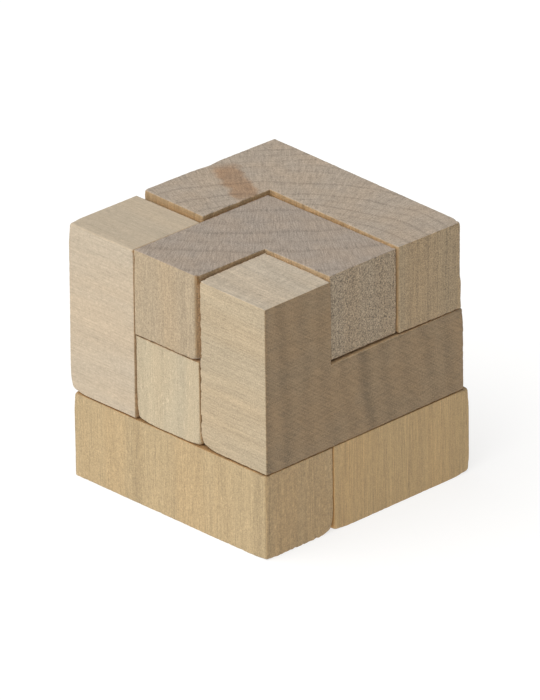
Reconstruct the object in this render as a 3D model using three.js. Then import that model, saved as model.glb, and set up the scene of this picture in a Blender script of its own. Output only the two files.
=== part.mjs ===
// Wooden cube puzzle: seven flat pieces sawn from square-section timber, packed three by three by three.
// Millimetres, +Z up. X and Y run along the two side faces that meet at the near upright edge.
// Every piece is one plate of cube cells in an L, T, V or Z, and its grain runs through the plate.
import * as THREE from 'three';

const LONG_EDGE_RADIUS = 0.9; // rounding of the edges that run with the grain
const NOTCH_RADIUS = 0.25; // what the saw leaves in the corner of a notch
const FACE_BEVEL = 0.4; // softening of the rim of the two end-grain faces
const ARC_STEPS = 4; // straight steps in one rounded corner
const DEGREE = Math.PI / 180;

// The cube is about 60 mm with cells of about 20 mm, and each hand-made piece differs a little from that.
// flat: the axis through the plate. cells: its cells, as [column, row] along the other two axes.
// size: overall size along X, Y and Z. low: the lowest corner in the packed cube.
// trim: what sanding took off each sawn side. shift: how far the lines between its cells are off, along
// the plate's two axes. lean: how the piece sits askew, about X, Y and Z, in degrees.
// The two pieces of the bottom layer stand on the surface, and the rest stack on them with thin gaps.
const PIECES = [
  {
    name: 'bottom_l_piece', colour: '#bfa376', flat: 'z', cells: [[2, 0], [2, 1], [1, 1], [0, 1]],
    size: [59.7, 41.1, 20.3], low: [0.5, 20.4, 0], trim: 0.1, shift: [0, 0], lean: [0, 0, 0],
  },
  {
    name: 'bottom_t_piece', colour: '#c9af83', flat: 'z', cells: [[0, 0], [1, 0], [2, 0], [1, 1]],
    size: [60, 39.7, 20.15], low: [0.1, 0, 0], trim: 0.1, shift: [0, 0.4], lean: [0, 0, 0],
  },
  {
    name: 'left_z_piece', colour: '#d3bf9c', flat: 'x', cells: [[0, 2], [0, 1], [1, 1], [1, 0]],
    size: [20.3, 40.4, 60.2], low: [-0.3, -0.35, 0.2], trim: 0.2, shift: [0.5, 0], lean: [-0.5, 0, 0],
  },
  {
    name: 'middle_l_piece', colour: '#d0bb94', flat: 'z', cells: [[1, 0], [1, 1], [1, 2], [0, 2]],
    size: [39.35, 59.6, 20.05], low: [0.4, 0.1, 20.4], trim: 0.02, shift: [0, 0.45], lean: [0, 0, 0],
  },
  {
    name: 'right_l_piece', colour: '#cdb892', flat: 'x', cells: [[0, 1], [0, 0], [1, 0], [2, 0]],
    size: [20.3, 59.5, 39.45], low: [40.15, 0.1, 20.6], trim: 0.1, shift: [0, -0.05], lean: [0.25, 0.5, 0],
  },
  {
    name: 'top_v_piece', colour: '#b7a083', flat: 'z', cells: [[0, 0], [0, 1], [1, 1]],
    size: [39.7, 40.15, 20.1], low: [20.15, -0.15, 40.7], trim: 0.1, shift: [0, 0], lean: [-0.4, 0, 0],
  },
  {
    name: 'back_top_l_piece', colour: '#b49c7f', flat: 'z', cells: [[0, 0], [0, 1], [1, 1], [2, 1]],
    size: [59.1, 38.7, 20.6], low: [1.3, 20.7, 40.85], trim: 0.75, shift: [0, -0.17], lean: [-0.3, 0.5, -1],
  },
];

// Corners of the plate's outline, anticlockwise, as points of the cell grid.
function outlineOf(cells) {
  const filled = new Set(cells.map(String));
  const isEmpty = (column, row) => !filled.has(String([column, row]));
  const nextPoint = new Map();
  for (const [column, row] of cells) {
    if (isEmpty(column, row - 1)) nextPoint.set(String([column, row]), [column + 1, row]);
    if (isEmpty(column + 1, row)) nextPoint.set(String([column + 1, row]), [column + 1, row + 1]);
    if (isEmpty(column, row + 1)) nextPoint.set(String([column + 1, row + 1]), [column, row + 1]);
    if (isEmpty(column - 1, row)) nextPoint.set(String([column, row + 1]), [column, row]);
  }
  const walk = [cells[0]];
  while (walk.length < nextPoint.size) walk.push(nextPoint.get(String(walk.at(-1))));
  return walk.filter((here, index) => {
    const before = walk.at(index - 1);
    const after = walk[(index + 1) % walk.length];
    return before[0] !== after[0] && before[1] !== after[1];
  });
}

// The plate's outline as a shape of the given width and height, with an arc at every corner.
function plateShape({ cells, trim, shift }, width, height) {
  const columns = 1 + Math.max(...cells.map(([column]) => column));
  const rows = 1 + Math.max(...cells.map(([, row]) => row));
  const columnPitch = (width + 2 * trim) / columns;
  const rowPitch = (height + 2 * trim) / rows;
  const corners = outlineOf(cells);
  const place = (line, count, pitch, off) => line * pitch - trim + (line > 0 && line < count ? off : 0);
  const direction = (from, to) => new THREE.Vector2(to[0] - from[0], to[1] - from[1]).normalize();
  const toLeft = (way, distance) => new THREE.Vector2(-way.y, way.x).multiplyScalar(distance);
  const shape = new THREE.Shape();
  corners.forEach((corner, index) => {
    const arriving = direction(corners.at(index - 1), corner);
    const leaving = direction(corner, corners[(index + 1) % corners.length]);
    const turn = Math.sign(arriving.cross(leaving)); // 1 at an outer corner, -1 in a notch
    const radius = turn > 0 ? LONG_EDGE_RADIUS : NOTCH_RADIUS;
    const vertex = new THREE.Vector2(
      place(corner[0], columns, columnPitch, shift[0]),
      place(corner[1], rows, rowPitch, shift[1]),
    );
    vertex.add(toLeft(arriving, trim)).add(toLeft(leaving, trim));
    const start = vertex.addScaledVector(arriving, -radius);
    const centre = toLeft(arriving, turn * radius).add(start);
    const startAngle = Math.atan2(start.y - centre.y, start.x - centre.x);
    shape.absarc(centre.x, centre.y, radius, startAngle, startAngle + (turn * Math.PI) / 2, turn < 0);
  });
  shape.closePath();
  return shape;
}

// One piece as a closed solid about its own middle. A piece flat along X is built lying and stood up.
function pieceGeometry(row) {
  const { flat, size } = row;
  const [width, height, thickness] = flat === 'z' ? size : [size[1], size[2], size[0]];
  const geometry = new THREE.ExtrudeGeometry(plateShape(row, width, height), {
    depth: thickness - 2 * FACE_BEVEL,
    curveSegments: ARC_STEPS / 2, // an arc is drawn with twice this many steps
    bevelEnabled: true,
    bevelThickness: FACE_BEVEL,
    bevelSize: FACE_BEVEL,
    bevelOffset: -FACE_BEVEL,
    bevelSegments: 2,
  });
  if (flat === 'x') {
    const alongX = new THREE.Vector3(1, 0, 0);
    const alongY = new THREE.Vector3(0, 1, 0);
    const alongZ = new THREE.Vector3(0, 0, 1);
    geometry.applyMatrix4(new THREE.Matrix4().makeBasis(alongY, alongZ, alongX));
  }
  geometry.center();
  return geometry;
}

function makePiece(row) {
  const wood = new THREE.MeshStandardMaterial({ color: row.colour, roughness: 0.62, metalness: 0 });
  const mesh = new THREE.Mesh(pieceGeometry(row), wood);
  mesh.name = row.name;
  mesh.position.set(...row.low.map((value, axis) => value + row.size[axis] / 2));
  mesh.rotation.set(...row.lean.map((angle) => angle * DEGREE));
  return mesh;
}

const packedCube = new THREE.Group();
for (const row of PIECES) packedCube.add(makePiece(row));

// The origin is the middle of the cube's footprint, on the surface that it stands on.
const box = new THREE.Box3().setFromObject(packedCube, true);
packedCube.position.set(-(box.min.x + box.max.x) / 2, -(box.min.y + box.max.y) / 2, -box.min.z);
const puzzle = new THREE.Group();
puzzle.add(packedCube);

export default puzzle;
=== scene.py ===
"""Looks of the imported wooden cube: seven flat pieces of pale wood with worn edges, on a white table.

Lengths are in millimetres up to the point where a mesh or a camera is made, and in metres there.
A piece has its own directions: two across its grain, in the plane of the plate, and one along the grain.
"""

import itertools
import math

import bpy
import numpy as np
from mathutils import Matrix, Vector


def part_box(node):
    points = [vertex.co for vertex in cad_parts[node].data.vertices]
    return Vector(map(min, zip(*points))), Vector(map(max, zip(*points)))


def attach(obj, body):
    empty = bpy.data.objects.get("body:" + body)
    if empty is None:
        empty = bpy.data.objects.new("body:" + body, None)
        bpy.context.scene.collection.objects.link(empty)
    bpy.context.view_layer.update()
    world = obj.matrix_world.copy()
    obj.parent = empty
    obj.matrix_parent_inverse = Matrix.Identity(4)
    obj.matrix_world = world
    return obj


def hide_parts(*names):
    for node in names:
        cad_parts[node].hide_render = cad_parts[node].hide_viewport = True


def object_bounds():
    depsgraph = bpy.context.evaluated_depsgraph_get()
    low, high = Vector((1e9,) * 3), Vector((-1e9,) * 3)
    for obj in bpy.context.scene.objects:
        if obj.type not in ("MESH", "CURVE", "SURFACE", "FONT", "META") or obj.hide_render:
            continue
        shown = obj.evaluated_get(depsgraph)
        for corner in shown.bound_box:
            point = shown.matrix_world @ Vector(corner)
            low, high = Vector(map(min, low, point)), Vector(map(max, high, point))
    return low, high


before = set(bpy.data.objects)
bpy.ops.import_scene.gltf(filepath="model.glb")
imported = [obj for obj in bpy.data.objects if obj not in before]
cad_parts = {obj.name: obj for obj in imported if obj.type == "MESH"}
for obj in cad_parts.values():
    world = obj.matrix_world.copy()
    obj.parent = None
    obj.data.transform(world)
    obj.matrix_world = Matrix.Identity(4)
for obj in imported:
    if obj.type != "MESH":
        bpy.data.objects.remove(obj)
cad_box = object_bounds()

MM = 0.001

# Camera: a long lens from above the near upright edge.
AZIMUTH, ELEVATION, ROLL = 46.29, 25.61, 0.82  # degrees
DISTANCE = 2.5  # metres
LENS, SENSOR = 592.6, 36.0  # the sensor's size is that of its long side
FARTHEST = 100.0  # metres that the camera sees
CORNER_TO_MIDDLE = Vector((29.9, 30.0, 30.0))  # from the bottom T's low corner to the cube's middle
AIM_RIGHT, AIM_UP = 0.47, -0.03  # where the camera aims, seen from that middle

# Light.
KEY_FROM = Vector((-0.14, -0.64, 0.85))
KEY_STRENGTH, KEY_COLOUR, KEY_SPREAD = 3.4, (1.0, 0.965, 0.90), 90
SKY_COLOUR, SKY_STRENGTH = (0.90, 0.96, 1.04), 0.26
FLOOR_SIZE = 24.0  # metres
FLOOR_COLOUR, FLOOR_GLOW = (0.33, 0.33, 0.33), 0.71

# The surface mesh of a piece.
STEP = 0.45  # spacing of its lines on the flat
EDGE_LINES = (0.1, 0.22, 0.36, 0.54, 0.78, 1.1, 1.5, 1.9)  # closer lines beside every edge
LEAST_GAP = 0.1  # between the closer lines and the middle of a narrow stretch
FLAT_FACE = math.cos(math.radians(3))  # a normal this near to a direction belongs to a face across it
LEAST_FACE = 15.0  # square millimetres; smaller facets are part of a rounded edge
SAME_PLANE = 0.05
TINY = 1e-6  # a length that doesn't count

# Wear of the edges.
SOFT_REACH = 2.6  # how far along the edges a soft corner is worn round
EDGE_REACH = 1.6  # how far from its line an edge's own wear reaches
NOTCH_REACH = 2.0  # how far from a notch's corner the surface belongs to both of its walls
CORNER_WEAR, RIM_WEAR = 0.7, 1.1  # how far wear reaches past a rounded corner, and in from an end's rim

# Where the wood's colour changes: its sawn ends and odd sides, and the painted warm bounce light in the gaps
# between pieces and on inner faces. A pair is where the colour begins to turn, and where it ends.
COVER_REACH = 0.8  # a face with another piece this near in front of it is covered
SPREAD = 3  # how many lines of the mesh the painted bounce light of a covered face spreads over
OUTSIDE = (1.5, 2.5)  # how far from a side of the cube a face is still part of its outside
WARMED = (1.8, 2.8)  # how deep inside the cube the painted warm bounce light on covered and inner faces fades
LOOKS_OUT, LOOKS_ASIDE, LOOKS_ALONG = (0.3, 0.8), (0.5, 0.9), (0.25, 0.85)  # share of a normal that way

# What the wood's colour is multiplied by.
BROAD_TINT = (1.03, 0.985, 0.93)  # in the tree's slow changes of colour
INNER_BOUNCE_TINT = (1.06, 0.98, 0.88)  # painted warm bounce light on inner faces
GAP_BOUNCE_TINT = (1.15, 1.06, 0.97)  # painted warm bounce light in the gaps, where another piece lies close in front of a face
EDGE_SHADE_TINT = (0.64, 0.49, 0.31)  # painted shade along edges that lie in shadow
DIRT_TINT = (0.93, 0.84, 0.70)  # in the specks of a worn edge

# Features of the wood: their size across the grain, twice, and along it.
FINE_FIBRES, BROAD_FIBRES, SLOW_TONE = (0.30, 0.30, 11), (1.6, 1.6, 45), (9, 9, 70)
RING_WANDER, STAIN_WANDER = (16, 16, 60), (3, 3, 9)
SPECKS, PORES = (0.33, 0.33, 0.33), (0.25, 0.25, 1.8)
RAYS = (0.32, 4.0, 1.1)  # round the pith, out from it, and along the grain
SCRATCHES = (0.35, 6.0, 1.0)  # across the saw's stroke, and along it
ROUGHNESS, REFRACTION, SHINE = 0.62, 1.45, 0.4
BUMP_STRENGTH, BUMP_HEIGHT = 0.6, 0.12

# Each piece's wood. Places are seen from the cube's middle.
# radius and rim: rounding of the edges along the grain and of the two sawn ends.
# ragged: how chipped all these edges are.
# soft: corners worn rounder, with their radius.
# edges: stretches of edge with wear of their own, as start, end, radius and raggedness.
# dark: lines along which painted shade darkens an edge that lies in shadow, as start, end, reach and
# strength.
# long and end: colour of a side face and of a sawn end. side: one outer face of another colour or feel.
# pith: where the tree's middle lies, seen from the piece's middle. rings: width of a year's ring.
# line: strength of the ring lines. thin: 0 for broad soft rings, 1 for thin lines.
# streak, fuzz: strength of the fibres and of the fine specks.
# fleck, rays: strength of the light flecks on the sides, and of the rays on the sawn ends.
# scratch and saw: strength of the saw's scratches on the ends, and their direction in degrees.
# stain: a band of old stain across the sawn end.
WOODS = {
    "bottom_l_piece": dict(
        body="bottom_l", slot="yellow_wood", radius=0.35, rim=0.14, ragged=0.3, edges=[],
        soft=[((30, 31, -10), 0.9), ((30, 31, -30), 1.0), ((30, -10, -30), 0.9)],
        long=(185, 157, 114), end=(160, 139, 108), pith=(70, 60), rings=3.1, line=0.07, thin=0.0,
        streak=0.18, fleck=0.04, fuzz=0.10, rays=0.36, scratch=0.3, saw=20,
    ),
    "bottom_t_piece": dict(
        body="bottom_t", slot="yellow_wood", radius=0.25, rim=0.12, ragged=0.35,
        edges=[((30.1, -26, -30), (30.1, -15, -30), 0.25, 1.8),
               ((30, -30, -10), (30, -30, -29), 0.7, 0.5)],
        soft=[((30, -10, -30), 1.7), ((-30, -30, -10), 0.8), ((30, -30, -30), 0.7)],
        long=(175, 154, 119), end=(160, 139, 108), pith=(-30, 95), rings=2.6, line=0.18, thin=0.6,
        streak=0.16, fleck=0.16, fuzz=0.13, rays=0.36, scratch=0.3, saw=70,
        side=dict(way=(1, 0, 0), colour=(175, 150, 113), fuzz=0.02),
    ),
    "left_z_piece": dict(
        body="left_z", slot="pale_wood", radius=0.4, rim=0.15, ragged=0.25,
        edges=[((-10, -30, 30), (-10, 10, 30), 0.45, 0.4)],
        # painted shade along the seam where this piece meets the top V
        dark=[((-10, -30, 30.4), (-10, 10, 30.4), 0.45, 0.8)],
        soft=[((-30, -30, -9.7), 1.6), ((-30, -30, 30), 0.8), ((-30, 10, 30), 0.9), ((-10, -30, 30), 0.7)],
        long=(183, 169, 149), end=(165, 149, 127), pith=(45, -20), rings=2.2, line=0.05, thin=0.3,
        streak=0.11, fleck=0.06, fuzz=0.07, rays=0.36, scratch=0.3, saw=40,
    ),
    "middle_l_piece": dict(
        body="middle_l", slot="pale_wood", radius=0.22, rim=0.12, ragged=0.4,
        edges=[((-9.5, -30, 10.4), (9.8, -30, 10.4), 0.2, 1.6)],
        soft=[((-9.6, -30, -9.6), 1.2), ((9.8, -30, -9.6), 0.9), ((-9.6, -30, 10.4), 0.6)],
        long=(182, 169, 144), end=(165, 149, 127), pith=(-60, 70), rings=4.0, line=0.09, thin=0.0,
        streak=0.09, fleck=0.14, fuzz=0.13, rays=0.36, scratch=0.3, saw=0,
    ),
    "right_l_piece": dict(
        body="right_l", slot="pale_wood", radius=0.25, rim=0.14, ragged=0.5,
        edges=[((10.2, -30, 29.7), (10.2, -30, 10.5), 0.55, 1.6),
               ((10.2, -30, 10.5), (10.2, -30, -5), 0.2, 1.6),
               ((30.5, -30, 29.7), (30.5, -30, -9.5), 0.35, 0.9),
               ((30.4, -10, 10.2), (30.4, 10, 10.2), 0.35, 0.7)],
        soft=[((10.2, -30, -9.6), 1.7), ((30, -10.2, 29.7), 0.6), ((30, 30, 10), 0.7)],
        long=(180, 164, 138), end=(147, 125, 96), pith=(150, 10), rings=6.0, line=0.15, thin=0.0,
        streak=0.15, fleck=0.08, fuzz=0.12, rays=0.14, scratch=0.5, saw=-35,
        side=dict(way=(0, 0, 1), colour=(184, 172, 155), fuzz=0.0),
    ),
    "top_v_piece": dict(
        body="top_v", slot="grey_brown_wood", radius=0.25, rim=0.14, ragged=0.5,
        edges=[((9.9, -30.2, 10.7), (9.9, -30.2, 30.7), 1.35, 1.0),
               ((9.9, -30, 30.7), (9.9, -10, 30.7), 0.2, 1.6),
               ((9.9, -10, 30.7), (29.8, -10, 30.7), 0.25, 1.1),
               ((29.8, -10, 30.7), (29.8, 10, 30.7), 0.2, 1.0),
               ((-9.8, -30.2, 30.7), (9.9, -30.2, 30.7), 0.2, 0.9),
               ((30, -10, 10.8), (30, 10, 10.8), 0.5, 0.9),
               ((-9.9, -30, 30.7), (-9.9, 10, 30.7), 0.35, 0.6)],
        soft=[((-9.9, -30, 30.8), 1.1), ((29.6, 9.9, 10.6), 0.9), ((29.6, -10, 10.6), 0.4)],
        # painted shade on the worn upright corner, which lies in shadow
        dark=[((9.8, -30.2, 10.7), (9.8, -30.2, 30.7), 0.75, 1.0)],
        long=(169, 152, 127), end=(159, 147, 136), pith=(-64, 61), rings=5.2, line=0.09, thin=0.8,
        streak=0.12, fleck=0.08, fuzz=0.16, rays=0.55, scratch=0.1, saw=47,
        side=dict(way=(1, 0, 0), colour=(161, 144, 121), fuzz=0.28),
    ),
    "back_top_l_piece": dict(
        body="back_top_l", slot="grey_brown_wood", radius=0.3, rim=0.15, ragged=0.3,
        edges=[((-9.9, -9.6, 31.4), (-9.9, 10.4, 31.4), 0.25, 1.6),
               ((-9.9, 10.4, 31.4), (30, 10, 31.1), 0.25, 1.3),
               ((30, 10, 31.1), (30, 29, 31.1), 0.2, 1.4),
               ((-28.5, -9.6, 31.4), (-9.9, -9.6, 31.4), 0.3, 0.9),
               ((30.4, 29.3, 30), (30.4, 29.3, 19), 0.9, 0.4),
               ((30, 10, 10.9), (30, 29, 10.9), 0.25, 0.9)],
        soft=[((30, 10.7, 10.9), 0.8), ((30, 30, 11), 0.7), ((-28.5, 10, 31), 0.8)],
        long=(164, 145, 117), end=(167, 154, 140), pith=(26, -32), rings=2.8, line=0.11, thin=0.8,
        streak=0.19, fleck=0.06, fuzz=0.12, rays=0.30, scratch=0.22, saw=50,
        side=dict(way=(1, 0, 0), colour=(165, 144, 114), fuzz=0.12),
        stain=dict(start=(-27, 11.2), end=(-9.5, 3.7), width=3.6, colour=(0.86, 0.70, 0.57)),
    ),
}


def noise(points, seed):
    """Smooth random values from 0 to 1 at the points, which change over about one unit."""
    scramble = np.array([73856093, 19349663, 83492791], np.uint64)
    cell = np.floor(points).astype(np.int64)
    part = points - cell
    part = part * part * (3 - 2 * part)
    total = np.zeros(len(points))
    for corner in itertools.product((0, 1), repeat=3):
        key = (cell + corner).astype(np.uint64) * scramble
        mixed = key[:, 0] ^ key[:, 1] ^ key[:, 2] ^ np.uint64(seed * 2654435761)
        mixed = (mixed ^ (mixed >> np.uint64(13))) * np.uint64(1274126177)
        value = ((mixed ^ (mixed >> np.uint64(16))) & np.uint64(0xFFFF)) / 65535
        weight = np.where(corner, part, 1 - part).prod(axis=1)
        total += weight * value
    return total


def smooth(low, high, values):
    """0 below low, 1 above high, and an even turn between them."""
    share = np.clip((values - low) / (high - low), 0, 1)
    return share * share * (3 - 2 * share)


def cad_triangles(node):
    """The corners of a CAD node's triangles, in millimetres, as an array of triangle, corner, axis."""
    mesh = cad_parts[node].data
    mesh.calc_loop_triangles()
    corners = np.empty(len(mesh.loop_triangles) * 3, np.int32)
    mesh.loop_triangles.foreach_get("vertices", corners)
    points = np.empty(len(mesh.vertices) * 3, np.float32)
    mesh.vertices.foreach_get("co", points)
    return points.reshape(-1, 3).astype(float)[corners].reshape(-1, 3, 3) / MM


class Plate:
    """A piece's CAD solid as a plate of blocks between flat faces, in its own three directions."""

    def __init__(self, node):
        triangles = cad_triangles(node)
        cross = np.cross(triangles[:, 1] - triangles[:, 0], triangles[:, 2] - triangles[:, 0])
        area = np.linalg.norm(cross, axis=1) / 2
        normal = cross / (2 * area[:, None] + 1e-12)
        low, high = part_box(node)
        self.grain_axis = int(np.argmin(np.array(high - low)))
        order = [(self.grain_axis + 1) % 3, (self.grain_axis + 2) % 3, self.grain_axis]
        rough = [cross[normal[:, k] > FLAT_FACE].sum(0) - cross[normal[:, k] < -FLAT_FACE].sum(0)
                 for k in order]
        left, _, right = np.linalg.svd([v / np.linalg.norm(v) for v in rough])
        self.directions = left @ right  # rows: across, across, along the grain
        triangles = triangles @ self.directions.T
        normal = normal @ self.directions.T
        self.planes = [self.flat_faces(triangles, normal, area, k) for k in range(3)]
        middles = [(p[1:] + p[:-1]) / 2 for p in self.planes]
        self.filled = np.array([[self.inside(triangles, u, v, middles[2][0]) for v in middles[1]]
                                for u in middles[0]])

    @staticmethod
    def flat_faces(triangles, normal, area, k):
        """Where the large faces across direction k lie."""
        flat = np.abs(normal[:, k]) > 0.9999
        place, size = triangles[flat][:, :, k].mean(axis=1), area[flat]
        found = []
        for start in np.sort(place):
            near = np.abs(place - start) < SAME_PLANE
            known = found and start - found[-1] < 2 * SAME_PLANE
            if size[near].sum() > LEAST_FACE and not known:
                found.append(place[near].mean())
        return np.array(found)

    @staticmethod
    def inside(triangles, u, v, w):
        """Whether a point is in the solid: the faces above it are crossed an odd number of times."""
        a, b, c = (triangles[:, i] for i in range(3))
        d = (b[:, 0] - a[:, 0]) * (c[:, 1] - a[:, 1]) - (b[:, 1] - a[:, 1]) * (c[:, 0] - a[:, 0])
        d = np.where(np.abs(d) < 1e-9, np.inf, d)
        s = ((u - a[:, 0]) * (c[:, 1] - a[:, 1]) - (v - a[:, 1]) * (c[:, 0] - a[:, 0])) / d
        t = ((b[:, 0] - a[:, 0]) * (v - a[:, 1]) - (b[:, 1] - a[:, 1]) * (u - a[:, 0])) / d
        height = a[:, 2] + s * (b[:, 2] - a[:, 2]) + t * (c[:, 2] - a[:, 2])
        hit = (s > 0) & (t > 0) & (s + t < 1) & (height > w)
        return bool(hit.sum() % 2)

    def corners(self):
        """The outline's corners: place, the way into the solid, and whether the corner is an outer one."""
        padded = np.pad(self.filled, 1)
        found = []
        for i, j in itertools.product(range(len(self.planes[0])), range(len(self.planes[1]))):
            around = padded[i:i + 2, j:j + 2]
            if around.sum() in (1, 3):
                outer = around.sum() == 1
                a, b = np.argwhere(around == outer)[0] * 2 - 1
                way = (a, b) if outer else (-a, -b)
                found.append((np.array([self.planes[0][i], self.planes[1][j]]), np.array(way), outer))
        return found

    def walls(self):
        """The outline's straight stretches: direction across it, place, way in, and its two ends."""
        padded = np.pad(self.filled.astype(int), 1)
        found = []
        for across in (0, 1):
            change = np.diff(padded, axis=across)
            change = change[:, 1:-1] if across == 0 else change[1:-1].T
            for i, j in np.argwhere(change != 0):
                along = self.planes[1 - across]
                found.append((across, self.planes[across][i], change[i, j], along[j], along[j + 1]))
        return found


def lattice_lines(planes):
    """Places of the mesh's lines across one direction, and the block that each gap between them is in."""
    lines, block = [planes[0]], []
    for number, (start, end) in enumerate(zip(planes[:-1], planes[1:])):
        near = [offset for offset in EDGE_LINES if offset < (end - start) / 2 - LEAST_GAP]
        first = start + near[-1] if near else start
        last = end - near[-1] if near else end
        flat = np.linspace(first, last, max(1, round((last - first) / STEP)) + 1)
        here = [*(start + np.array(near[:-1])), *flat, *(end - np.array(near[:-1][::-1]))]
        here = [x for x in here if start + TINY < x < end - TINY] + [end]
        lines += here
        block += [number] * len(here)
    return np.array(lines), np.array(block)


def plate_surface(plate):
    """The plate's surface as a lattice: points in its own directions, and faces that look outward."""
    lines, blocks = zip(*(lattice_lines(p) for p in plate.planes))
    filled = plate.filled[np.ix_(blocks[0], blocks[1])][:, :, None].repeat(len(blocks[2]), axis=2)
    padded = np.pad(filled.astype(int), 1)
    count = np.array([len(x) for x in lines])
    faces = []
    for axis in range(3):
        change = np.moveaxis(np.diff(padded, axis=axis), axis, 0)[:, 1:-1, 1:-1]
        change = np.moveaxis(change, 0, axis)
        at = np.argwhere(change != 0)
        outward = change[tuple(at.T)] < 0
        second, third = np.eye(3, dtype=int)[(axis + 1) % 3], np.eye(3, dtype=int)[(axis + 2) % 3]
        square = np.stack([at, at + second, at + second + third, at + third], axis=1)
        square[~outward] = square[~outward][:, ::-1]
        faces.append((square[..., 0] * count[1] + square[..., 1]) * count[2] + square[..., 2])
    used, faces = np.unique(np.concatenate(faces), return_inverse=True)
    index = np.stack(np.unravel_index(used, count), axis=1)
    points = np.stack([lines[k][index[:, k]] for k in range(3)], axis=1)
    return points, faces.reshape(-1, 4)


def point_normals(points, faces):
    """Outward normals of a mesh of four-sided faces, at its points."""
    a, b, c, d = (points[faces[:, i]] for i in range(4))
    normal = np.cross(c - a, d - b)
    total = np.zeros_like(points)
    for i in range(4):
        np.add.at(total, faces[:, i], normal)
    return total / (np.linalg.norm(total, axis=1)[:, None] + 1e-12)


def edge_share(place, start, end, reach=EDGE_REACH):
    """1 on the line from start to end, falling to 0 away from it."""
    start, along = np.array(start, float), np.subtract(end, start)
    part = np.clip((place - start) @ along / (along @ along), 0, 1)
    off = place - start - part[:, None] * along
    return np.exp(-((off / reach) ** 4).sum(axis=1))


def worn_radius(plate, points, radius, wood):
    """The radius of an edge at each point: larger near the wood's soft corners and edges."""
    place = points @ plate.directions - cube_middle()
    for corner, soft_radius in wood["soft"]:
        share = np.exp(-((place - corner) ** 2).sum(axis=1) / SOFT_REACH ** 2)
        radius = radius + np.maximum(soft_radius - radius, 0) * share
    for start, end, edge_radius, _ in wood["edges"]:
        radius = radius + (edge_radius - radius) * edge_share(place, start, end)
    return radius


def raggedness(plate, points, wood):
    """How chipped the edges are at each point."""
    place, ragged = points @ plate.directions - cube_middle(), np.full(len(points), wood["ragged"])
    for start, end, _, edge_ragged in wood["edges"]:
        ragged += (edge_ragged - ragged) * edge_share(place, start, end)
    return ragged


def nearest_walls(plate, points):
    """How far inside the outline each point is, and the way in from the nearest stretch of the outline."""
    depth, way = np.full(len(points), np.inf), np.zeros((len(points), 2))
    for across, place, inward, start, end in plate.walls():
        off, other = (points[:, across] - place) * inward, points[:, 1 - across]
        nearer = (other > start - TINY) & (other < end + TINY) & (off > -TINY) & (off < depth)
        depth[nearer] = off[nearer]
        way[nearer] = np.eye(2)[across] * inward
    return depth, way


def round_edges(plate, points, wood, seed):
    """Rounds the outline's outer corners and then the rims of the two ends.

    Returns the new points, how near each is to a rim and to an outer corner (1 on it, 0 further off).
    """
    rounded, w = points.copy(), points[:, 2]
    depth, way = nearest_walls(plate, points)
    corner_near = np.zeros(len(points))
    for number, (corner, inward, outer) in enumerate(plate.corners()):
        off = (points[:, :2] - corner) * inward
        inside, furthest = (off > -TINY).all(axis=1), off.max(axis=1)
        if outer:
            drift = noise(np.stack([w / 7, w * 0 + number * 5.3, w * 0 + 0.5], axis=1), seed)
            radius = worn_radius(plate, points, wood["radius"] * (0.65 + 0.7 * drift), wood)
            from_centre = radius[:, None] - off
            here = inside & (from_centre > 0).all(axis=1)
            length = np.maximum(np.hypot(*from_centre.T), 1e-9)
            on_arc = from_centre * (from_centre.max(axis=1) / length)[:, None]
            rounded[here, :2] = (corner + inward * (radius[:, None] - on_arc))[here]
            depth[here] = (radius - from_centre.max(axis=1))[here]
            way[here] = (inward * from_centre / length[:, None])[here]
            near = np.clip(1 - furthest / (radius + CORNER_WEAR), 0, 1)
            corner_near = np.maximum(corner_near, np.where(inside, near, 0))
        else:
            here = inside & (furthest < NOTCH_REACH)
            share = off / np.maximum(furthest, TINY)[:, None]
            share[furthest < TINY] = 1
            depth[here], way[here] = furthest[here], (share * inward)[here]
    rim_near = round_rims(plate, points, rounded, depth, way, wood, seed + 1)
    return rounded, rim_near, corner_near


def round_rims(plate, points, rounded, depth, way, wood, seed):
    """Moves the rounded points beside the rims of the two ends, and returns how near they are to a rim."""
    low, high = plate.planes[2]
    from_low, from_high = points[:, 2] - low, high - points[:, 2]
    from_end = np.minimum(from_low, from_high)
    radius = worn_radius(plate, points, wood["rim"] * (0.6 + 0.8 * noise(points / 3.1, seed)), wood)
    x, z = radius - depth, radius - from_end
    shrink = np.maximum(x, z) / np.maximum(np.hypot(x, z), 1e-9)
    shrink[(x <= 0) | (z <= 0)] = 1
    rounded[:, :2] += way * x[:, None] * (1 - shrink)[:, None]
    rounded[:, 2] += np.where(from_low < from_high, 1.0, -1.0) * z * (1 - shrink)
    return np.clip(1 - np.maximum(depth, from_end) / RIM_WEAR, 0, 1)


def wear(points, rim_near, corner_near, ragged, seed):
    """How deep the surface lies below the true one: hand-sanding, and torn fibres at the edges."""
    def layer(number, across, along):
        return noise(points / [across, across, along], seed + number)

    edge = np.maximum(rim_near, corner_near)
    sanded = 0.05 * (layer(2, 11, 17) - 0.5) + 0.012 * (layer(3, 1.3, 2.4) - 0.5)
    torn_rim = 0.17 * rim_near ** 1.5 * smooth(0.50, 0.95, layer(4, 0.7, 1.2))
    nicks = 0.13 * edge ** 2 * smooth(0.50, 0.90, layer(5, 0.45, 0.7))
    torn_corner = 0.14 * corner_near ** 2 * smooth(0.55, 0.95, layer(6, 0.8, 1.4))
    dents = 0.24 * edge * smooth(0.82, 0.98, layer(7, 1.8, 2.6))
    return sanded + ragged * (torn_rim + nicks + torn_corner + dents)


def cube_middle():
    """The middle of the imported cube, in millimetres."""
    return np.array(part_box("bottom_t_piece")[0] / MM + CORNER_TO_MIDDLE)


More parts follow.
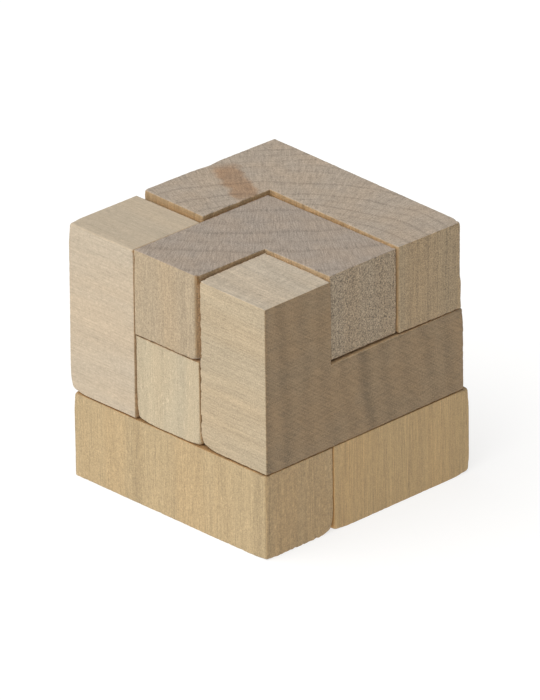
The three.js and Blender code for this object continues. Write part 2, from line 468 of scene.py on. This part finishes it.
def covered(node, plates, place, normal):
    """1 where another piece lies just in front of the surface, and 0 where the surface is open."""
    share = np.zeros(len(place))
    for other, plate in plates.items():
        if other != node:
            ahead = (place + normal * COVER_REACH) @ plate.directions.T
            block = [np.searchsorted(p, ahead[:, k]) - 1 for k, p in enumerate(plate.planes)]
            within = np.all([(b >= 0) & (b < len(p) - 1) for b, p in zip(block, plate.planes)], axis=0)
            i, j = (np.clip(b, 0, len(p) - 2) for b, p in zip(block[:2], plate.planes[:2]))
            share[within & plate.filled[i, j]] = 1
    return share


def inner_faces(node, place, normal):
    """1 on the faces inside the cube, and 0 on those that look out of it."""
    piece_box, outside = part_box(node), np.zeros(len(place))
    for side, axis in itertools.product((0, 1), range(3)):
        if abs(piece_box[side][axis] - cad_box[side][axis]) < OUTSIDE[1] * MM:
            off = np.abs(place[:, axis] - piece_box[side][axis] / MM)
            outward = normal[:, axis] * (2 * side - 1)
            outside += smooth(*LOOKS_OUT, outward) * smooth(*OUTSIDE[::-1], off)
    return np.clip(1 - outside, 0, 1)


def spread(values, faces):
    """The values of the mesh's points, each mixed with the points around it."""
    sharing = np.bincount(faces.ravel(), minlength=len(values))
    for _ in range(SPREAD):
        face_means = np.repeat(values[faces].mean(axis=1), 4)
        values = np.bincount(faces.ravel(), face_means, len(values)) / sharing
    return values


def paint_values(node, wood, plates, points, faces, normal, edge):
    """What the material mixes its colours by: values from 0 to 1 at the mesh's points."""
    directions = plates[node].directions
    place, facing = points @ directions, normal @ directions
    low, high = (np.array(corner) / MM for corner in cad_box)
    shallow = smooth(*WARMED[::-1], np.minimum(place - low, high - place).min(axis=1))
    inner = inner_faces(node, place, facing)
    side, dark = np.zeros(len(points)), np.zeros(len(points))
    if "side" in wood:
        side = smooth(*LOOKS_ASIDE, facing @ wood["side"]["way"]) * (1 - inner)
    # The dark lines carry painted shade along edges that lie in shadow.
    for start, end, reach, strength in wood.get("dark", []):
        dark += strength * edge_share(place - cube_middle(), start, end, reach)
    return {
        "end_grain": smooth(*LOOKS_ALONG, np.abs(normal[:, 2])),
        "edge": edge,
        "side": side,
        # seam and inner carry painted warm bounce light: in the gaps between pieces and on inner faces.
        "seam": spread(covered(node, plates, place, facing), faces) * shallow,
        "inner": inner * shallow,
        "dark": dark,
    }


def make_mesh(name, points, faces):
    """A smooth mesh of four-sided faces, from points in metres."""
    mesh = bpy.data.meshes.new(name)
    mesh.from_pydata([], [], [])
    mesh.vertices.add(len(points))
    mesh.vertices.foreach_set("co", points.astype(np.float32).ravel())
    mesh.loops.add(faces.size)
    mesh.loops.foreach_set("vertex_index", faces.astype(np.int32).ravel())
    mesh.polygons.add(len(faces))
    mesh.polygons.foreach_set("loop_start", np.arange(0, faces.size, 4, dtype=np.int32))
    mesh.polygons.foreach_set("use_smooth", np.ones(len(faces), bool))
    mesh.update(calc_edges=True)
    mesh.validate()
    return mesh


def make_piece(node, wood, plates, seed):
    """The visible piece for a CAD node, with its own mesh, attributes for its material, and its body."""
    plate = plates[node]
    points, faces = plate_surface(plate)
    points, rim_near, corner_near = round_edges(plate, points, wood, seed)
    normal = point_normals(points, faces)
    paint = paint_values(node, wood, plates, points, faces, normal, np.maximum(rim_near, corner_near))
    depth = wear(points, rim_near, corner_near, raggedness(plate, points, wood), seed)
    points = points - normal * depth[:, None]
    mesh = make_mesh(node.replace("_piece", "_wood"), points @ plate.directions * MM, faces)
    for name, values in paint.items():
        mesh.attributes.new(name, "FLOAT", "POINT").data.foreach_set("value", values.astype(np.float32))
    piece = bpy.data.objects.new(mesh.name, mesh)
    bpy.context.scene.collection.objects.link(piece)
    mesh.materials.append(wood_material(mesh.name, plate, wood, seed))
    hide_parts(node)
    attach(piece, wood["body"])


def linear(colour):
    """A colour given as three values from 0 to 255, as the linear values that a shader takes."""
    share = [c / 255 for c in colour]
    return [c / 12.92 if c <= 0.04045 else ((c + 0.055) / 1.055) ** 2.4 for c in share]


class Graph:
    """Short ways to add shader nodes. An input is a number, a colour or another node's output."""

    def __init__(self, material):
        material.use_nodes = True
        self.tree = material.node_tree
        self.shader = self.tree.nodes["Principled BSDF"]

    def put(self, socket, value):
        if isinstance(value, bpy.types.NodeSocket):
            self.tree.links.new(value, socket)
        else:
            socket.default_value = value

    def node(self, kind, settings=(), **inputs):
        made = self.tree.nodes.new(kind)
        for name, value in dict(settings).items():
            setattr(made, name, value)
        for name, value in inputs.items():
            self.put(made.inputs[name.replace("_", " ")], value)
        return made

    def attribute(self, name):
        return self.node("ShaderNodeAttribute", {"attribute_name": name}).outputs["Fac"]

    def math(self, operation, *values):
        made = self.tree.nodes.new("ShaderNodeMath")
        made.operation = operation
        for socket, value in zip(made.inputs, values):
            self.put(socket, value)
        return made.outputs[0]

    def total(self, values):
        """The sum of any number of values."""
        made = values[0]
        for value in values[1:]:
            made = self.math("ADD", made, value)
        return made

    def vector(self, operation, *values, scale=None):
        made = self.tree.nodes.new("ShaderNodeVectorMath")
        made.operation = operation
        for socket, value in zip(made.inputs, values):
            self.put(socket, value)
        if scale is not None:
            self.put(made.inputs["Scale"], scale)
        return made.outputs["Value" if operation in ("LENGTH", "DOT_PRODUCT") else "Vector"]

    def noise(self, vector, size, shift=0.0, detail=2.0, roughness=0.5):
        """Noise from 0 to 1 whose features are about size millimetres along each axis of vector."""
        scaled = self.vector("MULTIPLY", vector, [1 / s for s in size])
        moved = self.vector("ADD", scaled, (shift * 17.31, shift * 7.77, shift * 11.93))
        made = self.node("ShaderNodeTexNoise", Vector=moved, Scale=1.0, Detail=detail, Roughness=roughness)
        return made.outputs["Fac"]

    def wave(self, value, contrast):
        """Noise as a change of brightness, as much darker as lighter."""
        return self.math("MULTIPLY", self.math("SUBTRACT", value, 0.5), contrast)

    def ramp(self, value, low, high, to_low=0.0, to_high=1.0):
        """value from low to high, mapped smoothly to to_low to to_high."""
        made = self.node("ShaderNodeMapRange", {"interpolation_type": "SMOOTHSTEP"}, Value=value)
        for name, number in (("From Min", low), ("From Max", high), ("To Min", to_low), ("To Max", to_high)):
            made.inputs[name].default_value = number
        return made.outputs[0]

    def mix(self, share, first, second, blend="MIX"):
        made = self.node("ShaderNodeMix", {"data_type": "RGBA", "blend_type": blend})
        for index, value in ((0, share), (6, first), (7, second)):
            self.put(made.inputs[index], value)
        return made.outputs[2]

    def tinted(self, share, colour, tint):
        """The colour multiplied by the tint, as far as share says."""
        return self.mix(share, colour, self.mix(1.0, colour, (*tint, 1), "MULTIPLY"))


def year_rings(g, wood, radius, end):
    """How dark the ring lines are at a distance from the pith: uneven, and clearest on the sawn ends."""
    turn = g.math("DIVIDE", radius, wood["rings"])
    part = g.math("FRACT", turn)
    strength = g.node("ShaderNodeTexWhiteNoise", {"noise_dimensions": "1D"}, W=g.math("FLOOR", turn))
    thin = wood["thin"]
    late = g.math("MULTIPLY", g.ramp(part, 0.1 + 0.6 * thin, 0.6 + 0.3 * thin),
                  g.ramp(part, 0.6 + 0.32 * thin, 1.0, 1.0, 0.0))
    late = g.math("MULTIPLY", late, g.ramp(strength.outputs["Value"], 0.0, 1.0, 0.25, 1.0))
    return g.math("MULTIPLY", late, g.math("MULTIPLY_ADD", end, 0.6, 0.4))


def ray_plates(g, wood, from_pith, radius, along, shift):
    """Thin plates that run out from the pith. The angle round the pith gives the way across them."""
    split = g.node("ShaderNodeSeparateXYZ", Vector=from_pith).outputs
    angle = g.math("ARCTAN2", split["Y"], split["X"])
    tangent = g.math("MULTIPLY", angle, math.hypot(*wood["pith"]))
    place = g.node("ShaderNodeCombineXYZ", X=tangent, Y=radius, Z=along).outputs[0]
    return g.noise(place, RAYS, shift, detail=1.0)


def saw_scratches(g, wood, local, shift):
    """Fine straight scratches across the sawn ends."""
    lean = math.radians(wood["saw"])
    sawn = g.vector("DOT_PRODUCT", local, (-math.sin(lean), math.cos(lean), 0))
    stroke = g.vector("DOT_PRODUCT", local, (math.cos(lean), math.sin(lean), 0))
    place = g.node("ShaderNodeCombineXYZ", X=sawn, Y=stroke, Z=0.0).outputs[0]
    return g.noise(place, SCRATCHES, shift, detail=1.0)


def dirt_and_painted_light(g, colour, speck, edge, seam, inner, dark):
    """The wood's colour with painted warm bounce light on inner faces and in the gaps between pieces,
    painted shade along some edges, and dirt in the specks of worn edges.
    """
    # Painted warm bounce light on inner faces.
    colour = g.tinted(inner, colour, INNER_BOUNCE_TINT)
    # Painted warm bounce light where another piece lies close in front of the face, in specks.
    gap_bounce = g.math("MULTIPLY", g.math("MINIMUM", g.math("MULTIPLY", seam, 1.6), 1.0),
                    g.ramp(speck, 0.30, 0.60, 0.7, 1.0))
    colour = g.tinted(gap_bounce, colour, GAP_BOUNCE_TINT)
    # Painted shade along the edges that lie in shadow, in specks.
    edge_shade = g.math("MULTIPLY", dark, g.ramp(speck, 0.30, 0.60, 0.75, 1.0))
    colour = g.tinted(edge_shade, colour, EDGE_SHADE_TINT)
    dirt = g.math("MULTIPLY", g.ramp(edge, 0.60, 1.0), g.ramp(speck, 0.40, 0.60, 0.0, 0.32))
    return g.tinted(dirt, colour, DIRT_TINT)


def stained(g, colour, local, middle, stain, end, ragged):
    """A band of old stain across the sawn end, from stain's start to its end, with soft ragged sides."""
    start, finish = (Vector(stain[name]) for name in ("start", "end"))
    along = (finish - start).normalized()
    cube = cube_middle()
    offset = Vector((cube[0] - middle[0], cube[1] - middle[1])) + (start + finish) / 2
    place = g.vector("SUBTRACT", local, (*offset, 0))
    across = g.math("ABSOLUTE", g.vector("DOT_PRODUCT", place, (-along.y, along.x, 0)))
    reach = g.math("ABSOLUTE", g.vector("DOT_PRODUCT", place, (along.x, along.y, 0)))
    across = g.math("ADD", across, g.math("MULTIPLY_ADD", ragged, 3.0, -1.5))
    share = g.math("MULTIPLY", g.ramp(across, stain["width"] * 0.5, stain["width"] * 1.1, 1.0, 0.0),
                   g.ramp(reach, (finish - start).length * 0.35, (finish - start).length * 0.6, 1.0, 0.0))
    return g.tinted(g.math("MULTIPLY", share, end), colour, stain["colour"])


def wood_material(name, plate, wood, seed):
    """Pale wood: yearly rings round the pith, fibres along the grain, rays across it, and sawn ends."""
    material = bpy.data.materials.new(name)
    g = Graph(material)
    place = g.vector("SCALE", g.node("ShaderNodeTexCoord").outputs["Object"], scale=1 / MM)
    across = [g.vector("DOT_PRODUCT", place, tuple(row)) for row in plate.directions]
    middle = [(p[0] + p[-1]) / 2 for p in plate.planes]
    centred = [g.math("SUBTRACT", across[k], float(middle[k])) for k in range(3)]
    local = g.node("ShaderNodeCombineXYZ", X=centred[0], Y=centred[1], Z=centred[2]).outputs[0]
    end, edge, side, seam, inner, dark = (
        g.attribute(value) for value in ("end_grain", "edge", "side", "seam", "inner", "dark"))
    other = wood.get("side", dict(colour=wood["long"], fuzz=0.0))
    shift = seed * 1.37  # each piece has its own stretch of every noise

    # Rings: how far out from the pith, with a slow wander, so that the lines run a little unevenly.
    wander = g.noise(local, RING_WANDER, shift, detail=1.5)
    from_pith = g.vector("MULTIPLY", g.vector("SUBTRACT", local, (*wood["pith"], 0)), (1, 1, 0))
    radius = g.math("ADD", g.vector("LENGTH", from_pith), g.math("MULTIPLY", wander, 5.0))
    late = year_rings(g, wood, radius, end)

    # Rays, fibres from hair-fine to broad, the tree's slow changes of colour, and specks.
    rays = ray_plates(g, wood, from_pith, radius, across[2], shift + 3)
    flecks = g.ramp(rays, 0.60, 0.80)
    fine = g.noise(local, FINE_FIBRES, shift + 1, roughness=0.65)
    broad = g.noise(local, BROAD_FIBRES, shift + 2)
    tone = g.noise(local, SLOW_TONE, shift + 4)
    speck = g.noise(local, SPECKS, shift + 5, roughness=0.7)
    pores = g.noise(local, PORES, shift + 6, detail=0.0)
    scratches = saw_scratches(g, wood, local, shift + 7)

    fuzz = g.math("MULTIPLY_ADD", side, other["fuzz"], wood["fuzz"])
    brightness = g.total([
        1.0,
        g.wave(fine, wood["streak"] * 4.2),
        g.wave(broad, wood["streak"] * 1.2),
        g.math("MULTIPLY", g.wave(speck, 7.5), fuzz),
        g.wave(rays, g.math("MULTIPLY_ADD", end, wood["rays"], 0.24)),
        g.math("MULTIPLY", g.wave(scratches, wood["scratch"]), end),
        g.wave(tone, 0.10),
        g.math("MULTIPLY", flecks, g.math("MULTIPLY_ADD", end, -wood["fleck"], wood["fleck"])),
        g.math("MULTIPLY", late, -wood["line"] * 1.8),
        g.ramp(pores, 0.60, 0.75, 0.0, -0.07),
    ])
    long_colour, end_colour, side_colour = (
        (*linear(colour), 1) for colour in (wood["long"], wood["end"], other["colour"]))
    base = g.mix(side, g.mix(end, long_colour, end_colour), side_colour)
    base = g.tinted(g.ramp(tone, 0.35, 0.68, 0.0, 0.8), base, BROAD_TINT)
    grey = g.node("ShaderNodeCombineColor", Red=brightness, Green=brightness, Blue=brightness).outputs[0]
    # Painted bounce light, painted shade and dirt on the worn edges.
    colour = dirt_and_painted_light(g, g.mix(1.0, base, grey, "MULTIPLY"), speck, edge, seam, inner, dark)
    if "stain" in wood:
        ragged = g.noise(local, STAIN_WANDER, shift + 8)
        colour = stained(g, colour, local, middle, wood["stain"], end, ragged)
    g.put(g.shader.inputs["Base Color"], colour)
    g.shader.inputs["IOR"].default_value = REFRACTION
    g.shader.inputs["Specular IOR Level"].default_value = SHINE
    g.put(g.shader.inputs["Roughness"], g.total([ROUGHNESS, g.wave(broad, 0.14), g.wave(fine, 0.10)]))
    height = g.total([
        g.math("MULTIPLY", fine, 0.5),
        g.math("MULTIPLY", speck, g.math("MULTIPLY_ADD", fuzz, 8.0, 0.2)),
        g.math("MULTIPLY", rays, 0.25),
        g.math("MULTIPLY", scratches, g.math("MULTIPLY", end, 0.4)),
    ])
    bump = g.node("ShaderNodeBump", Height=height, Strength=BUMP_STRENGTH, Distance=BUMP_HEIGHT * MM)
    g.put(g.shader.inputs["Normal"], bump.outputs[0])
    return material


def make_floor():
    """A white table that glows a little, so that shadows on it stay pale."""
    bpy.ops.mesh.primitive_plane_add(size=FLOOR_SIZE)
    floor = bpy.context.object
    floor.name = "floor"
    material = bpy.data.materials.new("floor")
    g = Graph(material)
    g.shader.inputs["Base Color"].default_value = (*FLOOR_COLOUR, 1)
    g.shader.inputs["Roughness"].default_value = 0.9
    g.shader.inputs["Specular IOR Level"].default_value = 0.0
    g.shader.inputs["Emission Color"].default_value = (1, 1, 1, 1)
    g.shader.inputs["Emission Strength"].default_value = FLOOR_GLOW
    floor.data.materials.append(material)


def make_lights():
    """A soft key light from the left front, and an even pale sky."""
    key = bpy.data.lights.new("key", "SUN")
    key.energy, key.color, key.angle = KEY_STRENGTH, KEY_COLOUR, math.radians(KEY_SPREAD)
    lamp = bpy.data.objects.new("key", key)
    lamp.rotation_mode = "QUATERNION"
    lamp.rotation_quaternion = KEY_FROM.to_track_quat("Z", "Y")
    bpy.context.scene.collection.objects.link(lamp)
    world = bpy.data.worlds.new("sky")
    world.use_nodes = True
    background = world.node_tree.nodes["Background"]
    background.inputs["Color"].default_value = (*SKY_COLOUR, 1)
    background.inputs["Strength"].default_value = SKY_STRENGTH
    bpy.context.scene.world = world
    bpy.context.scene.view_settings.view_transform = "Standard"


def make_camera():
    """A camera that looks at a place just right of and below the cube's middle, turned by its roll."""
    azimuth, elevation, roll = (math.radians(x) for x in (AZIMUTH, ELEVATION, ROLL))
    level = math.cos(elevation)
    back = Vector((math.sin(azimuth) * level, -math.cos(azimuth) * level, math.sin(elevation)))
    right = Vector((math.cos(azimuth), math.sin(azimuth), 0))
    up = back.cross(right)
    right, up = right * math.cos(roll) - up * math.sin(roll), right * math.sin(roll) + up * math.cos(roll)
    aim = (Vector(cube_middle()) + right * AIM_RIGHT + up * AIM_UP) * MM
    data = bpy.data.cameras.new("camera")
    data.sensor_width, data.lens, data.clip_end = SENSOR, LENS, FARTHEST
    camera = bpy.data.objects.new("camera", data)
    turned = Matrix((right, up, back)).transposed().to_4x4()
    camera.matrix_world = Matrix.Translation(aim + back * DISTANCE) @ turned
    bpy.context.scene.collection.objects.link(camera)
    bpy.context.scene.camera = camera


make_camera()
make_floor()
make_lights()
plates = {node: Plate(node) for node in WOODS}
for number, (node, wood) in enumerate(WOODS.items()):
    make_piece(node, wood, plates, seed=11 + 10 * number)
